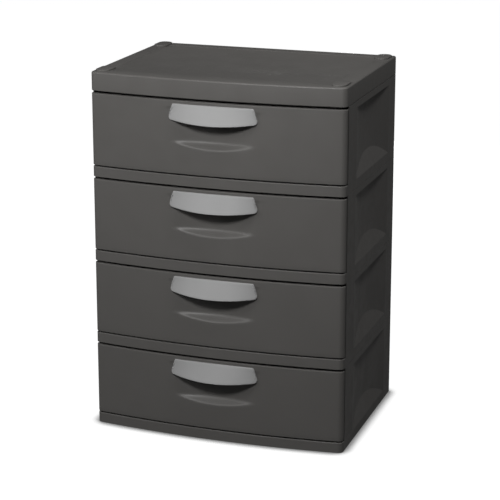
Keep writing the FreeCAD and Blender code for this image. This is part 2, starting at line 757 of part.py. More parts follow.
def main():
    doc = FreeCAD.newDocument("DrawerTower")
    make_sheet(doc)
    pieces = [make_top_cover(doc)]
    for level in range(1, LEVELS + 1):
        pieces.append(make_frame(doc, level))
        pieces.append(make_back_panel(doc, level))
        pieces.append(make_drawer_tub(doc, level))
        pieces.append(make_drawer_front(doc, level))
        pieces.append(make_drawer_handle(doc, level))
    check(doc, pieces)
    os.makedirs("parts", exist_ok=True)
    for piece in pieces:
        piece.Shape.exportStep(f"parts/{piece.Label}.step")
        bounds = piece.Shape.BoundBox
        print(piece.Label, round(piece.Shape.Volume / 1000, 1), "cm3",
              [round(value, 1) for value in (bounds.XMin, bounds.YMin, bounds.ZMin,
                                             bounds.XMax, bounds.YMax, bounds.ZMax)])


main()
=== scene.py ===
"""Plastic drawer tower: level frames, a top cover and four sliding drawers with cup handles."""
import logging
import math
from dataclasses import dataclass, replace
from enum import Enum
from functools import cached_property
from typing import Sequence

import bmesh
import bpy
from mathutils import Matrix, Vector


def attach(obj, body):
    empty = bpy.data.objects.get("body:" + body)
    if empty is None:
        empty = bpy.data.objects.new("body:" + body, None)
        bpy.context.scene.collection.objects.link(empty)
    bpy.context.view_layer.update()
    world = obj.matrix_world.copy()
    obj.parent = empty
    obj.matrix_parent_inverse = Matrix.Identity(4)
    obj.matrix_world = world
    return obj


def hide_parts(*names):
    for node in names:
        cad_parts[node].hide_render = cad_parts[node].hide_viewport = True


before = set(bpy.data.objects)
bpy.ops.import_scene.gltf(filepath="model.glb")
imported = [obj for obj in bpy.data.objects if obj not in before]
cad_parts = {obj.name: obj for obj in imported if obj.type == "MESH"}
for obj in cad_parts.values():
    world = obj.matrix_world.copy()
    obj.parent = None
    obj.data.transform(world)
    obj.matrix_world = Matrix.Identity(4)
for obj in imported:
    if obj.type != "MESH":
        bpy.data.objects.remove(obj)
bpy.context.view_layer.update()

LOG = logging.getLogger("drawer_tower")

Point = tuple[float, float, float]
Loop = list[Point]
Pair = tuple[float, float]
Outline = list[Pair]
Socket = bpy.types.NodeSocket
Material = bpy.types.Material
Item = bpy.types.Object
BMesh = bmesh.types.BMesh

# Sizes in metres
LEVEL_HEIGHT = 0.2154
WELD = 1e-6

# Steps and limits of the meshes
CORNER_STEPS = 7
STEP_TOLERANCE = 1e-9
LARGEST_POWER = 40.0
QUARTER = math.pi / 2

# Places of the colour sockets among those of a Mix node
FIRST_COLOUR, SECOND_COLOUR, MIXED_COLOUR = 6, 7, 2

WHITE = (1.0, 1.0, 1.0, 1.0)


class Level(Enum):
    """The four drawer levels, from the top one down."""

    TOP = 1
    SECOND = 2
    THIRD = 3
    BOTTOM = 4

    @property
    def lift(self) -> float:
        """Height of the level's lower edge above the floor, in metres."""
        return (len(Level) - self.value) * LEVEL_HEIGHT


class Slot(Enum):
    """Names of the material slots of the case, the drawers and the handles."""

    CASE = "case_plastic"
    DRAWER = "drawer_plastic"
    HANDLE = "handle_plastic"


class Tree:
    """A node tree that is written top down, with nodes linked as they are made."""

    def __init__(self, tree: bpy.types.NodeTree) -> None:
        """Take over the node tree of a material, world or node group."""
        self.tree = tree

    def add(self, kind: str, settings: dict | None = None, **sockets) -> bpy.types.Node:
        """Add a node and fill its inputs.

        Args:
            kind: node type, such as ShaderNodeBump.
            settings: properties of the node, by name.
            sockets: input values or output sockets, by input name with spaces as underscores.

        Returns:
            The new node.
        """
        node = self.tree.nodes.new(kind)
        for name, value in (settings or {}).items():
            setattr(node, name, value)
        for name, value in sockets.items():
            self.feed(node.inputs[name.replace("_", " ")], value)
        return node

    def new_socket(self, label: str, kind: str, way: str = "INPUT") -> bpy.types.NodeTreeInterfaceSocket:
        """Open a named input or output of a node group, of a kind such as Float."""
        return self.tree.interface.new_socket(label, in_out=way, socket_type=f"NodeSocket{kind}")

    def feed(self, socket: Socket, value: object) -> None:
        """Link an output socket to an input, or set the input's own value.

        Args:
            socket: the input.
            value: an output socket or a plain value.
        """
        if isinstance(value, Socket):
            self.tree.links.new(value, socket)
        else:
            socket.default_value = value

    def math(self, operation: str, first: object, second: object = 0.0) -> Socket:
        """Work out first and second with one operation.

        Args:
            operation: a Math node's operation.
            first: socket or number.
            second: socket or number.

        Returns:
            The result's socket.
        """
        node = self.add("ShaderNodeMath", {"operation": operation})
        self.feed(node.inputs[0], first)
        self.feed(node.inputs[1], second)
        return node.outputs[0]

    def spread(self, value: object, low: float, high: float, to_low: float = 0.0,
               to_high: float = 1.0) -> Socket:
        """Map a value smoothly, so that low gives to_low and high gives to_high."""
        node = self.add("ShaderNodeMapRange", {"interpolation_type": "SMOOTHSTEP"}, Value=value,
                        From_Min=low, From_Max=high, To_Min=to_low, To_Max=to_high)
        return node.outputs["Result"]

    def blend(self, factor: object, first: object, second: object) -> Socket:
        """Mix two colours.

        Args:
            factor: socket or number from 0 to 1.
            first: colour or socket at 0.
            second: colour or socket at 1.

        Returns:
            The mixed colour's socket.
        """
        node = self.add("ShaderNodeMix", {"data_type": "RGBA"}, Factor=factor)
        self.feed(node.inputs[FIRST_COLOUR], first)
        self.feed(node.inputs[SECOND_COLOUR], second)
        return node.outputs[MIXED_COLOUR]


def fresh_tree(owner: Material | bpy.types.World) -> Tree:
    """Start an empty node tree.

    Args:
        owner: the material or world that holds the tree.

    Returns:
        The tree.
    """
    owner.use_nodes = True
    owner.node_tree.nodes.clear()
    return Tree(owner.node_tree)


class SharedEffects:
    """Shader node groups that several finishes use, each built once."""

    def __init__(self) -> None:
        """Build the groups."""
        self.grain = self._grain()
        self.edges = self._edges()
        self.dust = self._dust()

    @staticmethod
    def _group(name: str, inputs: dict[str, float | None],
               outputs: Sequence[str]) -> tuple[Tree, Sequence[Socket], Sequence[Socket]]:
        """Start a node group.

        Args:
            name: the group's name.
            inputs: number inputs with their defaults, and vector inputs as None.
            outputs: names of number outputs, or of a normal.

        Returns:
            The tree, what is given to it and what it puts out.
        """
        tree = Tree(bpy.data.node_groups.new(name, "ShaderNodeTree"))
        for label, value in inputs.items():
            socket = tree.new_socket(label, "Vector" if value is None else "Float")
            if value is not None:
                socket.default_value = value
        for label in outputs:
            tree.new_socket(label, "Vector" if label == "Normal" else "Float", "OUTPUT")
        return tree, tree.add("NodeGroupInput").outputs, tree.add("NodeGroupOutput").inputs

    def _grain(self) -> bpy.types.NodeTree:
        """Fine spark-eroded grain of a mould, and slow drifts of tone and gloss.

        Returns:
            The group, with outputs Height, Tone and Gloss.
        """
        inputs = {"Vector": None, "Grain Size": 0.0009, "Seed": 0.0}
        tree, given, result = self._group("Mould Grain", inputs, ("Height", "Tone", "Gloss"))
        place = given["Vector"]
        scale = tree.math("DIVIDE", 1.0, given["Grain Size"])
        fine = tree.add("ShaderNodeTexNoise", {"noise_dimensions": "4D"}, Vector=place, Scale=scale,
                        W=given["Seed"], Detail=3.0, Roughness=0.6)
        pits = tree.add("ShaderNodeTexVoronoi", {"feature": "SMOOTH_F1"}, Vector=place, Scale=scale,
                        Smoothness=0.6)
        height = tree.math("ADD", fine.outputs["Fac"], tree.math("MULTIPLY", pits.outputs["Distance"], 0.6))
        tree.feed(result["Height"], height)
        for label, size, detail, rough, low, high in (("Tone", 5.0, 4.0, 0.55, 0.3, 0.7),
                                                      ("Gloss", 17.0, 5.0, 0.65, 0.35, 0.65)):
            drift = tree.add("ShaderNodeTexNoise", {"noise_dimensions": "4D"}, Vector=place, Scale=size,
                             W=given["Seed"], Detail=detail, Roughness=rough)
            tree.feed(result[label], tree.spread(drift.outputs["Fac"], low, high))
        return tree.tree

    def _edges(self) -> bpy.types.NodeTree:
        """Soft rounding of sharp edges, and a lighter line along them that is partly rubbed wear and partly
        painted highlight.

        Returns:
            The group, with outputs Normal and the mask of the lighter edge line.
        """
        inputs = {"Vector": None, "Radius": 0.0007, "Rubbed": 0.1}
        tree, given, result = self._group("Soft Edges", inputs, ("Normal", "Wear And Highlight"))
        soft = tree.add("ShaderNodeBevel", {"samples": 4}, Radius=given["Radius"])
        flat = tree.add("ShaderNodeNewGeometry")
        match = tree.add("ShaderNodeVectorMath", {"operation": "DOT_PRODUCT"})
        tree.feed(match.inputs[0], soft.outputs["Normal"])
        tree.feed(match.inputs[1], flat.outputs["Normal"])
        # Where the rounded normal leaves the flat one there is an edge; lightening along it is partly
        # rubbed wear and partly a painted highlight.
        edge = tree.spread(match.outputs["Value"], 0.999, 0.9)
        patch = tree.add("ShaderNodeTexNoise", Vector=given["Vector"], Scale=60.0, Detail=4.0)
        rub_and_highlight = tree.math("MULTIPLY", edge, tree.spread(patch.outputs["Fac"], 0.35, 0.7, 0.2, 1.0))
        tree.feed(result["Normal"], soft.outputs["Normal"])
        tree.feed(result["Wear And Highlight"], tree.math("MULTIPLY", rub_and_highlight, given["Rubbed"]))
        return tree.tree

    def _dust(self) -> bpy.types.NodeTree:
        """Thin dust that settles on faces that look up.

        Returns:
            The group, with output Cover.
        """
        tree, given, result = self._group("Settled Dust", {"Vector": None, "Amount": 0.3}, ("Cover",))
        face = tree.add("ShaderNodeNewGeometry")
        split = tree.add("ShaderNodeSeparateXYZ")
        tree.feed(split.inputs[0], face.outputs["Normal"])
        up = tree.spread(split.outputs["Z"], 0.6, 1.0)
        patch = tree.add("ShaderNodeTexNoise", Vector=given["Vector"], Scale=9.0, Detail=6.0,
                         Roughness=0.7)
        cover = tree.math("MULTIPLY", up, tree.spread(patch.outputs["Fac"], 0.3, 0.75, 0.35, 1.0))
        tree.feed(result["Cover"], tree.math("MULTIPLY", cover, given["Amount"]))
        return tree.tree


@dataclass(frozen=True)
class MouldedPlastic:
    """Finish of a moulded plastic piece, from colours, grain, dust, and lighter edge lines that are partly
    wear and partly painted highlight.
    """

    name: str
    base: Point
    # colour of the lighter edge line: partly rubbed wear, partly painted highlight
    rub_and_highlight: Point
    roughness: float
    grain_size: float
    grain_depth: float
    seed: float
    dust: float
    # strength of that lighter edge line
    wear_and_highlight: float
    edge_radius: float = 0.0008
    shade_share: float = 0.965
    dust_colour: Point = (0.20, 0.19, 0.18)
    gloss_span: Pair = (-0.04, 0.05)

    def material(self, effects: SharedEffects) -> Material:
        """Build the finish as a material.

        Args:
            effects: the shared node groups.

        Returns:
            The material.
        """
        material = bpy.data.materials.new(self.name)
        tree = fresh_tree(material)
        place = tree.add("ShaderNodeTexCoord").outputs["Object"]
        grain = tree.add("ShaderNodeGroup", {"node_tree": effects.grain}, Vector=place,
                         Grain_Size=self.grain_size, Seed=self.seed)
        edges = tree.add("ShaderNodeGroup", {"node_tree": effects.edges}, Vector=place,
                         Radius=self.edge_radius, Rubbed=self.wear_and_highlight)
        dust = tree.add("ShaderNodeGroup", {"node_tree": effects.dust}, Vector=place, Amount=self.dust)
        shade = tuple(part * self.shade_share for part in self.base)
        colour = tree.blend(grain.outputs["Tone"], (*shade, 1.0), (*self.base, 1.0))
        # lighter edge line, partly rubbed wear and partly painted highlight
        colour = tree.blend(edges.outputs["Wear And Highlight"], colour, (*self.rub_and_highlight, 1.0))
        colour = tree.blend(dust.outputs["Cover"], colour, (*self.dust_colour, 1.0))
        smoothest, roughest = (self.roughness + change for change in self.gloss_span)
        rough = tree.spread(grain.outputs["Gloss"], 0.0, 1.0, smoothest, roughest)
        bump = tree.add("ShaderNodeBump", Strength=0.5, Distance=self.grain_depth,
                        Height=grain.outputs["Height"], Normal=edges.outputs["Normal"])
        shader = tree.add("ShaderNodeBsdfPrincipled", Base_Color=colour, Roughness=rough,
                          Normal=bump.outputs["Normal"], IOR=1.49)
        tree.add("ShaderNodeOutputMaterial", Surface=shader.outputs["BSDF"])
        return material


def arc(centre: Sequence[float], radius: float, start: float, end: float, steps: int) -> Outline:
    """Points along an arc round a centre, from a start angle to an end angle, both ends in."""
    angles = [start + (end - start) * step / steps for step in range(steps + 1)]
    return [(centre[0] + radius * math.cos(angle), centre[1] + radius * math.sin(angle))
            for angle in angles]


def mirrored(line: Outline) -> Outline:
    """Points of a line mirrored to the other side of the middle, in reverse order."""
    return [(-across, along) for across, along in reversed(line)]


@dataclass(frozen=True)
class BowedPlan:
    """Plan that cover, drawer fronts and handles follow: a bowed front with rounded ends, in metres."""

    half: float = 0.325
    front: float = -0.2275
    rear: float = 0.2525
    bow: float = 0.022
    front_corner: float = 0.014
    rear_corner: float = 0.008

    @property
    def radius(self) -> float:
        """Radius of the bow."""
        return (self.half ** 2 + self.bow ** 2) / (2 * self.bow)

    @property
    def centre(self) -> float:
        """Place of the bow's axis along Y."""
        return self.front + self.radius

    def face(self, across: float) -> float:
        """Place of the bowed face along Y at a distance across from the middle."""
        return self.centre - math.sqrt(self.radius ** 2 - across ** 2)

    def front_line(self, inset: float, shares: Sequence[float]) -> Outline:
        """Walk along the front, from the left side round both corners to the right side.

        Args:
            inset: distance inside the outer face.
            shares: places along the bow, as shares of its half length, from -1 to 1.

        Returns:
            Points in plan.
        """
        turn = self.front_corner - inset
        bend = self.radius - inset
        turn_x = self.half - inset - turn
        reach = math.sqrt((bend - turn) ** 2 - turn_x ** 2)
        lean = math.atan2(reach, turn_x)
        right = arc((turn_x, self.centre - reach), turn, -lean, 0.0, CORNER_STEPS)[1:]
        places = [bend * math.cos(lean) * share for share in shares]
        line = [(place, self.centre - math.sqrt(bend ** 2 - place ** 2)) for place in places]
        return mirrored(right) + line + right

    def ring(self, inset: float, shares: Sequence[float]) -> Outline:
        """Walk once round the plan, front, right side, rear and left side.

        Args:
            inset: distance inside the outer face.
            shares: places along the bow and the rear, from -1 to 1.

        Returns:
            Points in plan, without a repeat of the first.
        """
        turn = self.rear_corner - inset
        side, back = self.half - inset, self.rear - inset
        rear = arc((side - turn, back - turn), turn, 0.0, QUARTER, CORNER_STEPS)
        straight = [(-share * (side - turn), back) for share in shares[1:-1]]
        return self.front_line(inset, shares) + rear + straight + mirrored(rear)


def rounded_ring(half: float, front: float, rear: float, corner: float, shares: Sequence[float]) -> Outline:
    """Walk once round a rounded rectangle, front, right side, rear and left side.

    Args:
        half: half its width.
        front: its front along Y.
        rear: its rear along Y.
        corner: radius of its corners.
        shares: places along its front and rear, from -1 to 1.

    Returns:
        Points in plan, without a repeat of the first.
    """
    flat = half - corner
    ahead = arc((flat, front + corner), corner, -QUARTER, 0.0, CORNER_STEPS)[1:]
    behind = arc((flat, rear - corner), corner, 0.0, QUARTER, CORNER_STEPS)
    return (mirrored(ahead) + [(flat * share, front) for share in shares] + ahead + behind
            + [(-flat * share, rear) for share in shares[1:-1]] + mirrored(behind))


def unit_share(value: float) -> float:
    """Keep a value from 0 to 1."""
    return min(max(value, 0.0), 1.0)


def soft_limit(value: float, softness: float) -> float:
    """Keep a value from going below zero, with a soft bend of a given size."""
    power = min(max(value / softness, -LARGEST_POWER), LARGEST_POWER)
    return softness * math.log1p(math.exp(power))


def even_steps(start: float, end: float, step: float) -> list[float]:
    """Values from start towards end, no more than a step apart, without end itself."""
    count = max(1, math.ceil(abs(end - start) / step - STEP_TOLERANCE))
    return [start + (end - start) * index / count for index in range(count)]


def skin(rows: Sequence[Loop], closed: bool, mesh: BMesh | None = None) -> BMesh:
    """Join rows of points, one after the other, to a skin of quads.

    Args:
        rows: rows of the same number of points.
        closed: whether the last point of a row joins its first.
        mesh: a mesh in the making to add to, or none for a new one.

    Returns:
        The skin.
    """
    mesh = mesh or bmesh.new()
    grid = [[mesh.verts.new(point) for point in row] for row in rows]
    count = len(rows[0])
    for low, high in zip(grid, grid[1:]):
        for index in range(count if closed else count - 1):
            after = (index + 1) % count
            mesh.faces.new((low[index], low[after], high[after], high[index]))
    return mesh


def cap(mesh: BMesh, start: int, count: int) -> None:
    """Close a skin with one face over a number of points, from a start on."""
    mesh.verts.ensure_lookup_table()
    mesh.faces.new([mesh.verts[index] for index in range(start, start + count)])


def outward(mesh: BMesh) -> None:
    """Merge doubles and turn all faces outwards, judged from the skin's middle.

    Args:
        mesh: the skin.
    """
    bmesh.ops.remove_doubles(mesh, verts=mesh.verts, dist=WELD)
    bmesh.ops.recalc_face_normals(mesh, faces=mesh.faces)
    middle = sum((vert.co for vert in mesh.verts), Vector()) / len(mesh.verts)
    lean = sum(face.normal.dot(face.calc_center_median() - middle) * face.calc_area()
               for face in mesh.faces)
    if lean < 0:
        bmesh.ops.reverse_faces(mesh, faces=mesh.faces)


def plain_mesh(item: Item) -> None:
    """Turn an object's modifiers into plain mesh and take them off.

    Args:
        item: a mesh object with modifiers.
    """
    bpy.context.view_layer.update()
    graph = bpy.context.evaluated_depsgraph_get()
    mesh = bpy.data.meshes.new_from_object(item.evaluated_get(graph), depsgraph=graph)
    item.modifiers.clear()
    old = item.data
    item.data = mesh
    bpy.data.meshes.remove(old)
    mesh.name = item.name


def new_object(name: str, source: BMesh | bpy.types.ID) -> Item:
    """Make an object at the origin and link it to the scene.

    Args:
        name: the object's name.
        source: its mesh, lamp or camera, or a mesh in the making, which is freed.

    Returns:
        The object.
    """
    data = source
    if isinstance(source, BMesh):
        data = bpy.data.meshes.new(name)
        source.to_mesh(data)
        source.free()
    item = bpy.data.objects.new(name, data)
    bpy.context.scene.collection.objects.link(item)
    return item


def thicken(item: Item, wall: float) -> None:
    """Give an outer skin its wall, inwards.

    Args:
        item: object whose mesh is an open outer skin.
        wall: the wall's thickness.
    """
    solid = item.modifiers.new("wall", "SOLIDIFY")
    solid.thickness = wall
    solid.offset = -1.0
    plain_mesh(item)


def round_edges(item: Item, radius: float, sharp: float = 50.0) -> None:
    """Add a modifier that rounds the sharp edges of an object.

    Args:
        item: the object.
        radius: radius of the rounding.
        sharp: edges that bend by more than this, in degrees, are rounded.
    """
    bevel = item.modifiers.new("rim", "BEVEL")
    bevel.width = radius
    bevel.segments = 3
    bevel.limit_method = "ANGLE"
    bevel.angle_limit = math.radians(sharp)


def dress(item: Item, material: Material) -> None:
    """Give an object its finish and report it.

    Args:
        item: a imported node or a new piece.
        material: the finish.
    """
    item.data.materials.clear()
    item.data.materials.append(material)
    LOG.info("%s, %d faces, in %s", item.name, len(item.data.polygons), material.name)


def hand_over(item: Item, body: str, nodes: Sequence[str],
              material: Material, sharp: float = 35.0) -> None:
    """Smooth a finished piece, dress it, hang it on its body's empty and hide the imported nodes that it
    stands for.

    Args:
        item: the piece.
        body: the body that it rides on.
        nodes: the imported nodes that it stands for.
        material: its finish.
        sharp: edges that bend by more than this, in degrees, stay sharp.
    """
    dress(item, material)
    item.data.shade_smooth()
    item.data.set_sharp_from_angle(angle=math.radians(sharp))
    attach(item, body)
    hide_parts(*nodes)


class ShapeTree(Tree):
    """A Geometry Nodes tree with named inputs, which ends in Realize Instances and Set Material."""

    KINDS = {float: "Float", int: "Int", Vector: "Vector"}

    def __init__(self, name: str, inputs: dict[str, float | int | Vector]) -> None:
        """Start the tree.

        Args:
            name: the tree's name.
            inputs: its inputs with their usual values.
        """
        super().__init__(bpy.data.node_groups.new(name, "GeometryNodeTree"))
        self.new_socket("Geometry", "Geometry")
        for label, value in inputs.items():
            self.new_socket(label, self.KINDS[type(value)]).default_value = value
        self.new_socket("Material", "Material")
        self.new_socket("Geometry", "Geometry", "OUTPUT")
        self.given = self.add("NodeGroupInput").outputs
        self.parts: list[Socket] = []

    def vector(self, x: object = 0.0, y: object = 0.0, z: object = 0.0) -> Socket:
        """Join three numbers to a vector."""
        return self.add("ShaderNodeCombineXYZ", X=x, Y=y, Z=z).outputs[0]

    def block(self, size: object, middle: object) -> Socket:
        """Make a rectangular block of a size around a middle point."""
        cube = self.add("GeometryNodeMeshCube", Size=size).outputs["Mesh"]
        return self.add("GeometryNodeTransform", Geometry=cube, Translation=middle).outputs[0]

    def join(self, parts: Sequence[Socket]) -> Socket:
        """Join several geometries.

        Args:
            parts: the geometries' sockets.

        Returns:
            The joined geometry's socket.
        """
        joined = self.add("GeometryNodeJoinGeometry")
        for part in parts:
            self.tree.links.new(part, joined.inputs[0])
        return joined.outputs[0]

    def pad(self, width: object, length: object, corner: object, height: object) -> Socket:
        """Make a raised field with rounded corners, standing on z = 0.

        Args:
            width: size along X.
            length: size along Y.
            corner: radius of its corners in plan.
            height: height of its top.

        Returns:
            The closed mesh's socket.
        """
        line = self.add("GeometryNodeCurvePrimitiveQuadrilateral", Width=width, Height=length)
        turned = self.add("GeometryNodeFilletCurve", {"mode": "POLY"}, Curve=line.outputs[0],
                          Radius=corner, Count=8)
        sheet = self.add("GeometryNodeFillCurve", {"mode": "NGONS"}, Curve=turned.outputs[0]).outputs[0]
        raised = self.add("GeometryNodeExtrudeMesh", {"mode": "FACES"}, Mesh=sheet, Offset_Scale=height,
                          Individual=False)
        foot = self.add("GeometryNodeFlipFaces", Mesh=sheet)
        closed = self.join((foot.outputs[0], raised.outputs["Mesh"]))
        return self.add("GeometryNodeMergeByDistance", Geometry=closed, Distance=WELD).outputs[0]

    def place(self, points: Socket, shape: Socket) -> None:
        """Set a copy of a shape on every point, as one of the parts."""
        copies = self.add("GeometryNodeInstanceOnPoints", Points=points, Instance=shape)
        self.parts.append(copies.outputs[0])

    def finish(self) -> None:
        """Join the parts, realize them and give them the material."""
        whole = self.add("GeometryNodeRealizeInstances", Geometry=self.join(self.parts))
        dressed = self.add("GeometryNodeSetMaterial", Geometry=whole.outputs[0],
                           Material=self.given["Material"])
        self.add("NodeGroupOutput", Geometry=dressed.outputs[0])

    def make(self, item: Item, values: dict[str, float | int | Vector],
             material: Material, rim: float = 0.0) -> None:
        """Run the tree on an object and keep the result as its plain mesh.

        Args:
            item: the object, whose mesh is the tree's incoming geometry.
            values: inputs that differ from their usual values.
            material: finish of what the tree makes.
            rim: radius of its sharp edges, or zero to leave them.
        """
        modifier = item.modifiers.new("nodes", "NODES")
        modifier.node_group = self.tree
        given = {**values, "Material": material}
        for socket in self.tree.interface.items_tree:
            if socket.in_out == "INPUT" and socket.name in given:
                modifier[socket.identifier] = given[socket.name]
        if rim:
            round_edges(item, rim)
        plain_mesh(item)


@dataclass(frozen=True)
class Finishes:
    """Materials of the case, the drawers and the handles."""

    case: Material
    drawer: Material
    handle: Material


@dataclass
class Piece:
    """A drawn piece in the shared finishes and on the shared plan."""

    finishes: Finishes
    plan: BowedPlan = BowedPlan()


@dataclass
class DrawerFront(Piece):
    """Bowed front of a drawer, with a finger scoop that falls to its face on a soft ramp."""

    low: float = 0.0298
    high: float = 0.2095
    back: float = -0.1925
    wall: float = 0.0026
    rim: float = 0.0011
    scoop_half: float = 0.100
    scoop_flare: float = 0.08
    scoop_depth: float = 0.017
    scoop_top: float = 0.193
    ramp_top: float = 0.108
    ramp_rise: float = 0.014
    softness: float = 0.0016
    ramp_softness_share: float = 1.6
    scoop_end_share: float = 1.3
    ramp_margin: float = 0.006
    top_edge_rows: tuple[float, float, float] = (-0.0006, 0.0001, 0.003)
    foot_step: float = 0.012
    ramp_step: float = 0.001
    scoop_step: float = 0.008
    head_step: float = 0.006
    fine_column_share: float = 0.0125
    column_share: float = 0.035
    fine_end_share: float = 1.25
    rim_steps: int = 6

    def depth(self, across: float, height: float) -> float:
        """Depth of the scoop behind the bowed face.

        Args:
            across: distance from the middle.
            height: height above the level's lower edge.

        Returns:
            The depth, zero outside the scoop.
        """
        if height > self.scoop_top or abs(across) > self.scoop_half * self.scoop_end_share:
            return 0.0
        spread = self.scoop_half + self.scoop_flare * (height - self.ramp_top)
        sink = self.plan.front + self.scoop_depth - self.plan.face(spread)
        radius = (spread ** 2 + sink ** 2) / (2 * sink)
        fall = soft_limit((self.ramp_top - height) * self.scoop_depth / self.ramp_rise,
                          self.softness * self.ramp_softness_share)
        drum = self.plan.front + self.scoop_depth - radius
        reach = math.sqrt((radius - fall) ** 2 - across ** 2)
        return soft_limit(drum + reach - self.plan.face(across), self.softness)

    def _heights(self) -> list[float]:
        """Heights of the face's rows, close together where the scoop's ramp turns.

        Returns:
            The heights, from the lower rim to the upper one.
        """
        ramp_foot = self.ramp_top - self.ramp_rise - self.ramp_margin
        ramp_head = self.ramp_top + self.ramp_margin
        below, above, clear = (self.scoop_top + change for change in self.top_edge_rows)
        top = self.high - self.rim
        return (even_steps(self.rim + self.low, ramp_foot, self.foot_step)
                + even_steps(ramp_foot, ramp_head, self.ramp_step)
                + even_steps(ramp_head, below, self.scoop_step) + [below, above]
                + even_steps(clear, top, self.head_step) + [top])

    def _shares(self) -> list[float]:
        """Places of the columns along the bow, close together across the scoop.

        Returns:
            The places, from -1 to 1.
        """
        reach = self.scoop_half * self.fine_end_share / self.plan.half
        left = even_steps(-1.0, -reach, self.column_share) + even_steps(-reach, 0.0, self.fine_column_share)
        return left + [0.0] + [-share for share in reversed(left)]

    def rows(self, lift: float) -> list[Loop]:
        """Rows of the outer skin, from the lower edge to the upper one.

        Args:
            lift: height of the level.

        Returns:
            The rows.
        """
        steps = arc((self.rim, self.low + self.rim), self.rim, -QUARTER, -math.pi, self.rim_steps)[:-1]
        levels = steps + [(0.0, height) for height in self._heights()]
        levels += [(inset, self.high + self.low - height) for inset, height in reversed(steps)]
        shares = self._shares()
        rows = []
        for inset, height in levels:
            side = self.plan.half - inset
            points = [(-side, self.back)] + self.plan.front_line(inset, shares) + [(side, self.back)]
            rows.append([(across, along + self.depth(across, height), height + lift)
                         for across, along in points])
        return rows

    def build(self, level: Level) -> None:
        """Build the front of one level.

        Args:
            level: the drawer's level.
        """
        rows = self.rows(level.lift)
        mesh = skin(rows, closed=False)
        count = len(rows[0])
        cap(mesh, 0, count)
        cap(mesh, len(mesh.verts) - count, count)
        outward(mesh)
        item = new_object(f"bowed_front_{level.value}", mesh)
        thicken(item, self.wall)
        hand_over(item, f"drawer_{level.value}", [f"drawer_front_{level.value}"],
                  self.finishes.drawer)


@dataclass
class FrontBraces(Piece):
    """Upright braces behind a drawer front and the snaps that hold it in the tub."""

    rib: float = 0.0022
    snap_size: Point = (0.008, 0.0057, 0.016)
    snap_reach: float = 0.00065
    brace_shares: tuple[float, ...] = (-0.83, -0.46, 0.46, 0.83)
    tub_half: float = 0.296
    back: float = -0.1905
    low: float = 0.031
    high: float = 0.208
    wall: float = 0.0026
    snap_levels: Pair = (0.0704, 0.1541)

    @cached_property
    def tree(self) -> ShapeTree:
        """Tree that sets one brace and its snaps on every point that comes in.

        Returns:
            The tree.
        """
        outer = self.plan.face(self.brace_shares[-1] * self.tub_half) + self.wall / 2
        middle = (self.low + self.high) / 2
        tree = ShapeTree("Front Braces", {
            "Brace Size": Vector((self.rib, self.back - outer, self.high - self.low)),
            "Snap Size": Vector(self.snap_size), "Snap Reach": self.snap_reach,
            "Lower Snap": self.snap_levels[0] - middle, "Upper Snap": self.snap_levels[1] - middle})
        given = tree.given
        brace_y = tree.add("ShaderNodeSeparateXYZ", Vector=given["Brace Size"]).outputs["Y"]
        brace = tree.block(given["Brace Size"], tree.vector(0.0, tree.math("MULTIPLY", brace_y, -0.5), 0.0))
        tree.place(given["Geometry"], brace)
        for label in ("Lower Snap", "Upper Snap"):
            snap = tree.block(given["Snap Size"], tree.vector(0.0, given["Snap Reach"], given[label]))
            tree.place(given["Geometry"], snap)
        tree.finish()
        return tree

    def build(self, level: Level) -> None:
        """Build the braces of one level.

        Args:
            level: the drawer's level.
        """
        mesh = bmesh.new()
        for share in self.brace_shares:
            mesh.verts.new((share * self.tub_half, self.back, (self.low + self.high) / 2 + level.lift))
        item = new_object(f"front_braces_{level.value}", mesh)
        self.tree.make(item, {}, self.finishes.drawer)
        hand_over(item, f"drawer_{level.value}", [f"drawer_front_{level.value}"],
                  self.finishes.drawer)


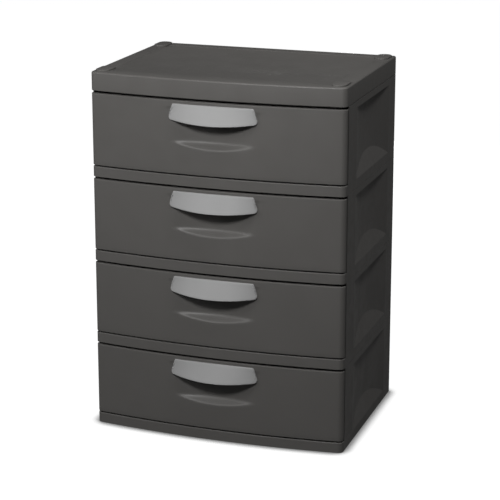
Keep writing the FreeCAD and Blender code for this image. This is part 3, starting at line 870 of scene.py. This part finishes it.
@dataclass
class CupHandle(Piece):
    """Cup handle: a thin hood that bulges towards its foot, open below, over the finger scoop."""

    head: float = 0.202
    tall: float = 0.038
    smile: float = 0.0075
    top_half: float = 0.103
    low_half: float = 0.115
    reach: float = 0.0248
    lip: float = 0.003
    wall: float = 0.002
    rim: float = 0.0019
    head_corner: float = 0.0045
    foot_corner: float = 0.0085
    sunk: float = 0.0004
    free_half: float = 0.100
    free_run: float = 0.010
    free_rim_share: float = 1.2
    side_steps: int = 4
    head_corner_steps: int = 6
    head_steps: int = 12
    foot_corner_steps: int = 8
    smile_steps: int = 10
    rim_steps: int = 5
    face_steps: int = 9

    @property
    def end(self) -> float:
        """Height of the lower end of the handle's sides."""
        return self.head - self.tall

    @property
    def foot(self) -> float:
        """Height of the lowest point of the hood."""
        return self.end - self.smile

    def hood(self, across: float, height: float) -> float:
        """Place of the hood's outer face along Y.

        Args:
            across: distance from the middle.
            height: height above the level's lower edge.

        Returns:
            The place along Y.
        """
        share = unit_share((self.head - height) / (self.head - self.foot))
        half = self.top_half + (self.head - height) * (self.low_half - self.top_half) / self.tall
        crown = self.plan.front - self.lip - (self.reach - self.lip) * share
        rise = self.plan.face(half) - self.lip - crown
        radius = (half ** 2 + rise ** 2) / (2 * rise)
        return crown + radius - math.sqrt(radius ** 2 - min(abs(across), half) ** 2)

    def outline(self) -> tuple[Outline, list[bool]]:
        """Front view of the handle, once round from the middle of its right end over its head.

        Returns:
            Points as (x, z), and whether each lies along the foot.
        """
        smile = (self.low_half ** 2 + self.smile ** 2) / (2 * self.smile)
        lean = Vector((self.low_half - self.top_half, -self.tall)).normalized()
        inside = Vector((lean.y, -lean.x))
        trim = self.head_corner / math.tan(math.acos(-lean.x) / 2)
        head_centre = Vector((self.top_half - trim, self.head - self.head_corner))
        start = Vector((self.top_half, self.head)) + inside * self.foot_corner
        arc_centre = Vector((0.0, self.foot + smile))
        away = start - arc_centre
        along = away.dot(lean)
        gap = away.length_squared - (smile - self.foot_corner) ** 2
        foot_centre = start + lean * (-along + math.sqrt(along ** 2 - gap))
        side = math.atan2(-inside.y, -inside.x)
        touch = (foot_centre - arc_centre).normalized()
        first = head_centre - inside * self.head_corner
        last = foot_centre - inside * self.foot_corner
        half_side = [step / (2 * self.side_steps) for step in range(self.side_steps)]
        over = [tuple(first.lerp(last, 0.5 - share)) for share in half_side]
        over += arc(head_centre, self.head_corner, side, QUARTER, self.head_corner_steps)
        over += [(head_centre.x * (1 - step / self.head_steps), self.head)
                 for step in range(1, self.head_steps + 1)]
        under = [tuple(first.lerp(last, 0.5 + share)) for share in half_side[1:]]
        under += arc(foot_centre, self.foot_corner, side, math.atan2(touch.y, touch.x),
                     self.foot_corner_steps)
        foot = [False] * len(under) + [True] * self.smile_steps
        angle = math.atan2(touch.x, -touch.y)
        for step in range(1, self.smile_steps + 1):
            turn = angle * (1 - step / self.smile_steps)
            under.append((smile * math.sin(turn), arc_centre.y - smile * math.cos(turn)))
        points = over + mirrored(over[:-1]) + mirrored(under[::-1]) + under[-2::-1]
        return points, [False] * (2 * len(over) - 1) + foot + foot[-2::-1]

    def rings(self, lift: float) -> list[Loop]:
        """Rings round the rim, from the seat on the drawer front to the edge of the hood's face.

        Args:
            lift: height of the level.

        Returns:
            The rings.
        """
        outline, along_foot = self.outline()
        count = len(outline)
        rings = [[(x, self._seat(x, z, foot), z + lift) for (x, z), foot in zip(outline, along_foot)]]
        for turn in range(self.rim_steps + 1):
            inset = self.rim * (1 - math.cos(QUARTER * turn / self.rim_steps))
            sink = self.rim - math.sqrt(self.rim ** 2 - (self.rim - inset) ** 2)
            ring = []
            for index, (x, z) in enumerate(outline):
                ahead, behind = Vector(outline[(index + 1) % count]), Vector(outline[index - 1])
                line = (ahead - behind).normalized()
                spot = Vector((x, z)) + Vector((-line.y, line.x)) * inset
                ring.append((spot.x, self.hood(spot.x, spot.y) + sink, spot.y + lift))
            rings.append(ring)
        return rings

    def face(self, edge: Loop, lift: float) -> list[Loop]:
        """Rows of the hood's face, from the head's side of its edge to the foot's side.

        Args:
            edge: the edge of the face.
            lift: height of the level.

        Returns:
            The rows.
        """
        rows = []
        for step in range(self.face_steps + 1):
            row = []
            for index in range(len(edge) // 2 + 1):
                spot = Vector(edge[index]).lerp(Vector(edge[-index % len(edge)]), step / self.face_steps)
                inner = 0 < step < self.face_steps
                row.append((spot.x, self.hood(spot.x, spot.z - lift) if inner else spot.y, spot.z))
            rows.append(row)
        return rows

    def _seat(self, x: float, z: float, foot: bool) -> float:
        """Where the skin ends behind an outline point: on the drawer front, or free along the foot.

        Args:
            x: the point's distance from the middle.
            z: its height above the level's lower edge.
            foot: whether it lies along the foot.

        Returns:
            The place along Y.
        """
        seated = self.plan.face(x) + self.sunk
        if not foot:
            return seated
        share = unit_share((abs(x) - self.free_half) / self.free_run)
        return seated * share + (self.hood(x, z) + self.rim * self.free_rim_share) * (1 - share)

    def build(self, level: Level) -> None:
        """Build the handle of one level.

        Args:
            level: the drawer's level.
        """
        rings = self.rings(level.lift)
        mesh = skin(rings, closed=True)
        skin(self.face(rings[-1], level.lift), closed=False, mesh=mesh)
        outward(mesh)
        item = new_object(f"cup_handle_{level.value}", mesh)
        thicken(item, self.wall)
        hand_over(item, f"drawer_{level.value}", [f"drawer_handle_{level.value}"],
                  self.finishes.handle, sharp=50.0)


@dataclass
class TopCover(Piece):
    """Top cover: a shallow hood with a soft upper edge, a sunk tray and four corner pads."""

    low: float = len(Level) * LEVEL_HEIGHT
    high: float = 0.9086
    wall: float = 0.0024
    foot: float = 0.0016
    upper_edge: float = 0.004
    tray_half: float = 0.288
    tray_front: float = -0.1685
    tray_rear: float = 0.2155
    tray_corner: float = 0.016
    tray_sink: float = 0.001
    tray_slope: float = 0.0012
    pad_size: Point = (0.036, 0.064, 0.005)
    pad_corner: float = 0.017
    pad_rim: float = 0.0009
    pad_across: float = 0.3
    pad_rows: Pair = (-0.1665, 0.2135)
    ribs: int = 3
    rib: float = 0.0022
    rib_depth: float = 0.008
    stop_rear: float = -0.1813
    columns: int = 12
    edge_steps: int = 6
    slope_steps: int = 6

    def rows(self) -> list[Loop]:
        """Rings of the outer skin, from the lower edge over the upper edge to the tray's floor.

        Returns:
            The rings.
        """
        shares = [step / self.columns for step in range(-self.columns, self.columns + 1)]
        levels = [(self.foot, self.low), (0.0, self.low + self.foot), (0.0, self.high - self.upper_edge)]
        edge = self.upper_edge
        levels += arc((edge, self.high - edge), edge, math.pi, QUARTER, self.edge_steps)[1:]
        rows = [[(across, along, height) for across, along in self.plan.ring(inset, shares)]
                for inset, height in levels]
        for step in range(self.slope_steps + 1):
            inset = self.tray_slope * (step / self.slope_steps - 0.5)
            height = self.high - self.tray_sink * (1 - math.cos(math.pi * step / self.slope_steps)) / 2
            ring = rounded_ring(self.tray_half - inset, self.tray_front + inset, self.tray_rear - inset,
                                self.tray_corner - inset, shares)
            rows.append([(across, along, height) for across, along in ring])
        return rows

    def fittings(self) -> ShapeTree:
        """Tree that sets a pad on every point that comes in, and hangs ribs below the cover.

        Returns:
            The tree.
        """
        width = 2 * (self.plan.half - self.wall)
        length = self.plan.rear - self.wall - self.stop_rear
        ceiling = self.high - self.wall
        rib_middle = ceiling - self.rib_depth / 2
        across, along = 2 * self.plan.half / (self.ribs + 1), length / (self.ribs + 1)
        tree = ShapeTree("Cover Fittings", {
            "Pad Width": self.pad_size[0], "Pad Length": self.pad_size[1], "Pad Height": self.pad_size[2],
            "Pad Corner": self.pad_corner, "Ribs": self.ribs,
            "Long Rib": Vector((self.rib, length, self.rib_depth)),
            "Long Start": Vector((across - self.plan.half, self.stop_rear + length / 2, rib_middle)),
            "Long Step": Vector((across, 0.0, 0.0)),
            "Cross Rib": Vector((width, self.rib, self.rib_depth)),
            "Cross Start": Vector((0.0, self.stop_rear + along, rib_middle)),
            "Cross Step": Vector((0.0, along, 0.0)),
            "Stop Rib": Vector((width, self.rib, ceiling - self.low)),
            "Stop Middle": Vector((0.0, self.stop_rear - self.rib / 2, (ceiling + self.low) / 2))})
        given = tree.given
        pad = tree.pad(*(given[f"Pad {size}"] for size in ("Width", "Length", "Corner", "Height")))
        tree.place(given["Geometry"], pad)
        for kind in ("Long", "Cross"):
            line = tree.add("GeometryNodeMeshLine", Count=given["Ribs"],
                            Start_Location=given[f"{kind} Start"], Offset=given[f"{kind} Step"])
            rib = tree.block(given[f"{kind} Rib"], (0.0, 0.0, 0.0))
            tree.place(line.outputs[0], rib)
        tree.parts.append(tree.block(given["Stop Rib"], given["Stop Middle"]))
        tree.finish()
        return tree

    def build(self) -> None:
        """Build the cover's shell, its pads and its ribs."""
        rows = self.rows()
        mesh = skin(rows, closed=True)
        count = len(rows[0])
        cap(mesh, len(mesh.verts) - count, count)
        outward(mesh)
        shell = new_object("cover_shell", mesh)
        thicken(shell, self.wall)
        hand_over(shell, "case", ["top_cover"], self.finishes.case)
        points = bmesh.new()
        for along in self.pad_rows:
            for across in (-self.pad_across, self.pad_across):
                points.verts.new((across, along, self.high - self.tray_sink))
        pads = new_object("cover_pads", points)
        self.fittings().make(pads, {}, self.finishes.case, self.pad_rim)
        hand_over(pads, "case", ["top_cover"], self.finishes.case, sharp=50.0)


@dataclass
class BackPanel:
    """Thin back of a level, with a row of upright stiffening beads."""

    finishes: Finishes
    half: float = 0.3167
    front: float = 0.2478
    rear: float = 0.2498
    low: float = 0.024
    high: float = 0.2214
    beads: int = 6
    bead_reach: float = 0.22125
    bead_width: float = 0.014
    bead_height: float = 0.002
    bead_margin: float = 0.026
    bead_corner: float = 0.006
    bead_rim: float = 0.0007

    @cached_property
    def tree(self) -> ShapeTree:
        """Tree of a sheet with a row of beads.

        Returns:
            The tree.
        """
        length = LEVEL_HEIGHT - self.low - 2 * self.bead_margin
        tree = ShapeTree("Beaded Panel", {
            "Sheet Size": Vector((2 * self.half, self.rear - self.front, self.high - self.low)),
            "Sheet Middle": Vector((0.0, (self.front + self.rear) / 2, (self.low + self.high) / 2)),
            "Beads": self.beads, "Bead Reach": self.bead_reach, "Bead Width": self.bead_width,
            "Bead Length": length, "Bead Height": self.bead_height, "Bead Corner": self.bead_corner,
            "Bead Start": Vector((-self.bead_reach, self.rear, self.low + self.bead_margin + length / 2)),
            "Lift": 0.0})
        given = tree.given
        tree.parts.append(tree.block(given["Sheet Size"], given["Sheet Middle"]))
        spacing = tree.math("DIVIDE", tree.math("MULTIPLY", given["Bead Reach"], 2.0),
                            tree.math("SUBTRACT", given["Beads"], 1.0))
        line = tree.add("GeometryNodeMeshLine", Count=given["Beads"], Start_Location=given["Bead Start"],
                        Offset=tree.vector(spacing))
        bead = tree.pad(*(given[f"Bead {size}"] for size in ("Width", "Length", "Corner", "Height")))
        upright = tree.add("GeometryNodeTransform", Geometry=bead, Rotation=(-QUARTER, 0.0, 0.0))
        tree.place(line.outputs[0], upright.outputs[0])
        lifted = tree.add("GeometryNodeTransform", Geometry=tree.join(tree.parts),
                          Translation=tree.vector(z=given["Lift"]))
        tree.parts = [lifted.outputs[0]]
        tree.finish()
        return tree

    def build(self, level: Level) -> None:
        """Build the back of one level.

        Args:
            level: the level.
        """
        item = new_object(f"beaded_back_{level.value}", bmesh.new())
        self.tree.make(item, {"Lift": level.lift}, self.finishes.case, self.bead_rim)
        hand_over(item, "case", [f"back_panel_{level.value}"], self.finishes.case, sharp=40.0)


@dataclass(frozen=True)
class Softbox:
    """One square lamp, with its place, its edge length and its power in watts."""

    name: str
    place: Point
    size: float
    power: float
    aim: Point = (0.0, -0.1, 0.55)

    def hang(self) -> None:
        """Hang the lamp, facing the object."""
        data = bpy.data.lights.new(self.name, "AREA")
        data.size = self.size
        data.energy = self.power
        lamp = new_object(self.name, data)
        lamp.location = self.place
        facing = Vector(self.aim) - Vector(self.place)
        lamp.rotation_euler = facing.to_track_quat("-Z", "Y").to_euler()


@dataclass
class Studio:
    """Plain pale floor, soft lights and the camera at the photographed angle."""

    lamps: tuple[Softbox, ...] = (
        Softbox("key", (0.0, -1.9, 1.9), 0.35, 31.0),
        Softbox("left", (-2.4, -1.6, 1.8), 1.0, 24.0),
        Softbox("rear", (2.4, 1.6, 1.8), 1.0, 4.0),
        Softbox("top", (1.0, 0.2, 3.2), 0.8, 11.0),
        Softbox("right", (1.4, -0.6, 3.2), 0.6, 23.0),
        Softbox("back", (-0.5, 3.2, 0.4), 0.8, 40.0))
    image_size: float = 500.0
    focal_pixels: float = 1758.5
    shift: Pair = (0.0, -0.10)
    camera_place: Point = (1.4159, -4.0640, 1.6884)
    turn: float = math.radians(19.008)
    tilt: float = math.radians(14.662)
    sensor: float = 36.0
    floor_half: float = 8.0
    floor_grey: float = 0.12
    ambient: float = 0.02
    gloss_white: float = 0.05
    # Reach, strength and span of the painted contact shadow in the floor's glow.
    contact_reach: float = 0.032
    contact_shade: float = 0.85
    contact_span: Pair = (0.5, 1.0)

    def build(self) -> None:
        """Make the floor, the lights, the world and the camera."""
        self._camera()
        self._floor()
        self._world()
        for lamp in self.lamps:
            lamp.hang()
        bpy.context.scene.view_settings.view_transform = "Standard"

    def _camera(self) -> None:
        """Place the camera."""
        data = bpy.data.cameras.new("camera")
        data.sensor_width = self.sensor
        data.lens = self.focal_pixels / self.image_size * data.sensor_width
        data.shift_x, data.shift_y = self.shift
        camera = new_object("camera", data)
        camera.location = self.camera_place
        camera.rotation_euler = (QUARTER - self.tilt, 0.0, self.turn)
        bpy.context.scene.camera = camera

    def _floor(self) -> None:
        """Lay the floor, white to the camera where no shadow falls, with a painted contact shadow that dims
        its glow near the base.
        """
        material = bpy.data.materials.new("floor_white")
        tree = fresh_tree(material)
        diffuse = tree.add("ShaderNodeBsdfDiffuse", Color=(*[self.floor_grey] * 3, 1.0))
        path = tree.add("ShaderNodeLightPath")
        # An ambient occlusion mask dims the glow that the camera sees near the base: a painted contact
        # shadow.
        near = tree.add("ShaderNodeAmbientOcclusion", {"samples": 12}, Distance=self.contact_reach)
        painted_contact_shadow = tree.spread(near.outputs["AO"], *self.contact_span, 1.0 - self.contact_shade, 1.0)
        seen = tree.math("MULTIPLY", path.outputs["Is Camera Ray"], painted_contact_shadow)
        mirrored = tree.math("MULTIPLY", path.outputs["Is Glossy Ray"], self.gloss_white)
        glow = tree.add("ShaderNodeEmission", Color=WHITE, Strength=tree.math("MAXIMUM", seen, mirrored))
        both = tree.add("ShaderNodeAddShader")
        tree.feed(both.inputs[0], diffuse.outputs[0])
        tree.feed(both.inputs[1], glow.outputs[0])
        tree.add("ShaderNodeOutputMaterial", Surface=both.outputs[0])
        half = self.floor_half
        rows = [[(-half, along, 0.0), (half, along, 0.0)] for along in (-half, half)]
        floor = new_object("floor", skin(rows, closed=False))
        floor.data.materials.append(material)

    def _world(self) -> None:
        """Dim even light all round, seen as white."""
        world = bpy.data.worlds.new("studio")
        tree = fresh_tree(world)
        path = tree.add("ShaderNodeLightPath")
        seen = tree.math("MAXIMUM", path.outputs["Is Camera Ray"], path.outputs["Is Transmission Ray"])
        mirrored = tree.math("MULTIPLY", path.outputs["Is Glossy Ray"], self.gloss_white)
        strength = tree.math("MAXIMUM", tree.math("MAXIMUM", seen, mirrored), self.ambient)
        glow = tree.add("ShaderNodeBackground", Color=WHITE, Strength=strength)
        tree.add("ShaderNodeOutputWorld", Surface=glow.outputs[0])
        bpy.context.scene.world = world


def main() -> None:
    """Build and dress the drawer tower."""
    effects = SharedEffects()
    case = MouldedPlastic(name="case_grey", base=(0.105, 0.101, 0.096), rub_and_highlight=(0.2, 0.195, 0.19),
                          roughness=0.5, grain_size=0.0011, grain_depth=0.00005, seed=1.0,
                          dust=0.05, wear_and_highlight=0.1)
    drawer = replace(case, name="drawer_grey", grain_depth=0.00004, seed=2.0, wear_and_highlight=0.06)
    # The handle's strong, light edge line is a painted highlight along its top and bottom rims.
    handle = MouldedPlastic(name="handle_grey", base=(0.32, 0.32, 0.32), rub_and_highlight=(0.6, 0.6, 0.6),
                            roughness=0.7, grain_size=0.0009, grain_depth=0.00003, seed=3.0,
                            dust=0.0, wear_and_highlight=0.7)
    finishes = Finishes(case.material(effects), drawer.material(effects), handle.material(effects))
    TopCover(finishes).build()
    pieces = (BackPanel(finishes), DrawerFront(finishes), FrontBraces(finishes), CupHandle(finishes))
    for level in Level:
        dress(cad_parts[f"frame_{level.value}"], finishes.case)
        dress(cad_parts[f"drawer_tub_{level.value}"], finishes.drawer)
        for piece in pieces:
            piece.build(level)
    Studio().build()


if __name__ == "__main__":
    logging.basicConfig(level=logging.INFO)
    main()
